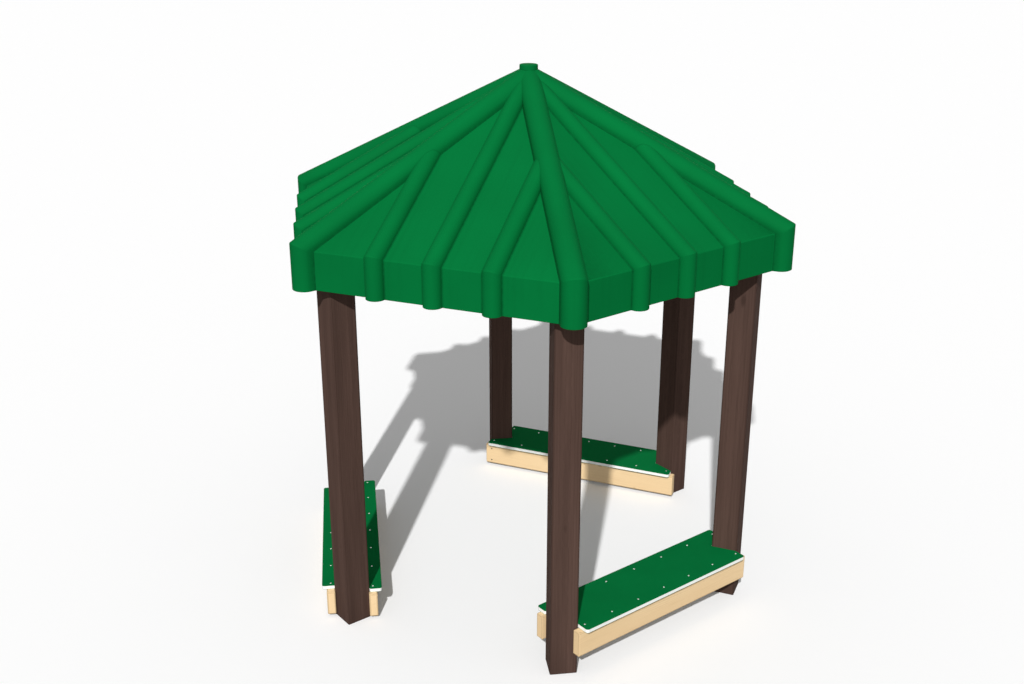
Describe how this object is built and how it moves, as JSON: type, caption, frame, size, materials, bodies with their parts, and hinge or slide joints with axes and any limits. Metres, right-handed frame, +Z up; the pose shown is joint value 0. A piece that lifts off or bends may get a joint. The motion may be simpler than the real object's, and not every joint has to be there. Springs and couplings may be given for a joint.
{
  "type": "garden gazebo",
  "caption": "Open six-sided garden gazebo with square brown posts, a ribbed green moulded roof and low benches on every other side.",
  "frame": {"origin": "on the ground at the centre of the hexagon of posts", "axes": "+Z up, -Y towards the front post, +X to the right as seen from the front"},
  "size_m": [2.174, 2.494, 2.4748],
  "materials": {
    "post_wood": "dark brown stain, matt",
    "beam_wood": "planed pale softwood, clear finish",
    "seat_board": "dark green polyethylene board with a white core",
    "roof_plastic": "moulded green plastic, satin"
  },
  "bodies": {
    "root": {"post_front": "post_wood", "post_front_right": "post_wood", "post_back_right": "post_wood", "post_back": "post_wood", "post_back_left": "post_wood", "post_front_left": "post_wood", "bench_front_right_outer_beam": "beam_wood", "bench_front_right_inner_beam": "beam_wood", "bench_front_right_board": "seat_board", "bench_back_right_outer_beam": "beam_wood", "bench_back_right_inner_beam": "beam_wood", "bench_back_right_board": "seat_board", "bench_left_outer_beam": "beam_wood", "bench_left_inner_beam": "beam_wood", "bench_left_board": "seat_board", "roof_panel_front_left": "roof_plastic", "roof_panel_front_right": "roof_plastic", "roof_panel_right": "roof_plastic", "roof_panel_back_right": "roof_plastic", "roof_panel_back_left": "roof_plastic", "roof_panel_left": "roof_plastic", "hip_rib_front": "roof_plastic", "hip_rib_front_right": "roof_plastic", "hip_rib_back_right": "roof_plastic", "hip_rib_back": "roof_plastic", "hip_rib_back_left": "roof_plastic", "hip_rib_front_left": "roof_plastic", "apex_cap": "roof_plastic"}
  },
  "joints": []
}
